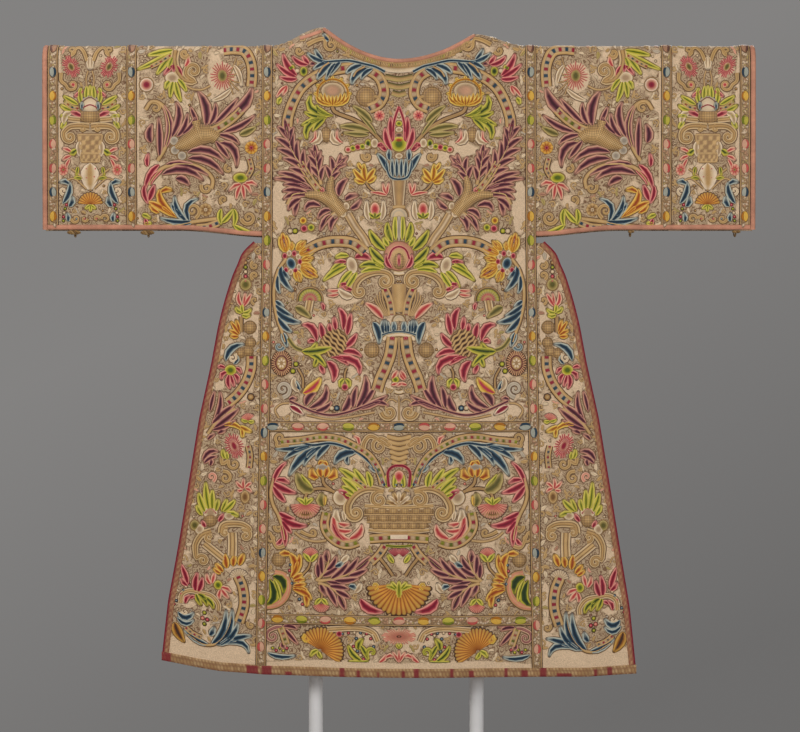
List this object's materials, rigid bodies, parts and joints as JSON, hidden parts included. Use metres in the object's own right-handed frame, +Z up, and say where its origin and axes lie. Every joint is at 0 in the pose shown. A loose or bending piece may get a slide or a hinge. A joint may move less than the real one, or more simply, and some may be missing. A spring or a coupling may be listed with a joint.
{
  "type": "dalmatic on a two-post stand",
  "caption": "Wide-sleeved embroidered dalmatic with open sides, galloons, silk bindings and sleeve ties, hung hollow on a limbless two-post stand with a flat base.",
  "frame": {"origin": "on the floor, under the middle of the stand's base and of the garment's width", "axes": "+Z up, the garment's front faces -Y, +X to the viewer's right"},
  "size_m": [1.28, 0.38, 1.5695],
  "materials": {
    "embroidered_silk": "ivory silk covered with couched silver-gilt thread and shaded silk embroidery",
    "galloon_gold": "gold galloon with oval embroidered medallions",
    "salmon_silk": "salmon silk binding with a soft sheen",
    "crimson_braid": "tan and gold chequered braid with a crimson edge",
    "gold_knot": "knotted brown-gold cord",
    "painted_steel": "soft off-white powder coat",
    "padded_arm": "smooth padded cover, undyed"
  },
  "bodies": {
    "root": {"back_panel": "embroidered_silk", "cuff_back_left": "embroidered_silk", "cuff_back_right": "embroidered_silk", "cuff_binding_back_left": "salmon_silk", "cuff_binding_back_right": "salmon_silk", "cuff_binding_front_left": "salmon_silk", "cuff_binding_front_right": "salmon_silk", "cuff_front_left": "embroidered_silk", "cuff_front_right": "embroidered_silk", "front_panel": "embroidered_silk", "galloon_back_left": "galloon_gold", "galloon_back_right": "galloon_gold", "galloon_front_left": "galloon_gold", "galloon_front_right": "galloon_gold", "galloon_inner_back_left": "galloon_gold", "galloon_inner_back_right": "galloon_gold", "galloon_inner_front_left": "galloon_gold", "galloon_inner_front_right": "galloon_gold", "galloon_low_back": "galloon_gold", "galloon_low_front": "galloon_gold", "galloon_outer_back_left": "galloon_gold", "galloon_outer_back_right": "galloon_gold", "galloon_outer_front_left": "galloon_gold", "galloon_outer_front_right": "galloon_gold", "galloon_waist_back": "galloon_gold", "galloon_waist_front": "galloon_gold", "gore_back_left": "embroidered_silk", "gore_back_right": "embroidered_silk", "gore_front_left": "embroidered_silk", "gore_front_right": "embroidered_silk", "hem_braid_back": "crimson_braid", "hem_braid_front": "crimson_braid", "neck_binding_back": "salmon_silk", "neck_binding_front": "salmon_silk", "side_braid_back_left": "crimson_braid", "side_braid_back_right": "crimson_braid", "side_braid_front_left": "crimson_braid", "side_braid_front_right": "crimson_braid", "sleeve_back_left": "embroidered_silk", "sleeve_back_right": "embroidered_silk", "sleeve_front_left": "embroidered_silk", "sleeve_front_right": "embroidered_silk", "stand_arm_left": "padded_arm", "stand_arm_right": "padded_arm", "stand_base": "painted_steel", "stand_post_left": "painted_steel", "stand_post_right": "painted_steel", "stand_rail": "painted_steel", "tie_cord_left_inner": "gold_knot", "tie_cord_left_outer": "gold_knot", "tie_cord_right_inner": "gold_knot", "tie_cord_right_outer": "gold_knot", "tie_knot_left_inner": "gold_knot", "tie_knot_left_outer": "gold_knot", "tie_knot_right_inner": "gold_knot", "tie_knot_right_outer": "gold_knot", "under_binding_back_left": "salmon_silk", "under_binding_back_right": "salmon_silk", "under_binding_front_left": "salmon_silk", "under_binding_front_right": "salmon_silk"}
  },
  "joints": []
}
